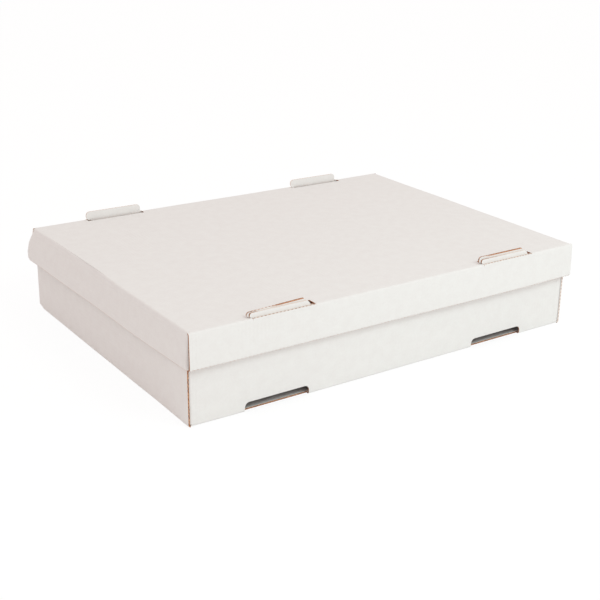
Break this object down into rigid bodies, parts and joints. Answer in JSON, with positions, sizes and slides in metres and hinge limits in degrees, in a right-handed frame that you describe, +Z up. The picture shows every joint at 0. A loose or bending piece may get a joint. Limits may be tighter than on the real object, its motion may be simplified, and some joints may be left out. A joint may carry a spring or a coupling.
{
  "type": "pastry box with lift-off lid",
  "caption": "Low white corrugated card box, a folded tray under a lift-off lid whose ears stand up through slots so that boxes stack.",
  "frame": {"origin": "centre of the underside of the tray, on the surface it stands on", "axes": "+X along the box's length, towards its right end; +Y from front to rear; +Z up, the way the lid lifts off"},
  "size_m": [0.42, 0.305, 0.0909],
  "materials": {
    "tray_board": "matte white liner over brown fluting",
    "lid_board": "matte white liner over brown fluting"
  },
  "bodies": {
    "tray": {"tray": "tray_board"},
    "lid": {"lid": "lid_board"}
  },
  "joints": [
    {"name": "lid_lift", "type": "slide", "parent": "tray", "child": "lid", "axis": [0, 0, 1], "range_m": [0, 0.06]}
  ]
}
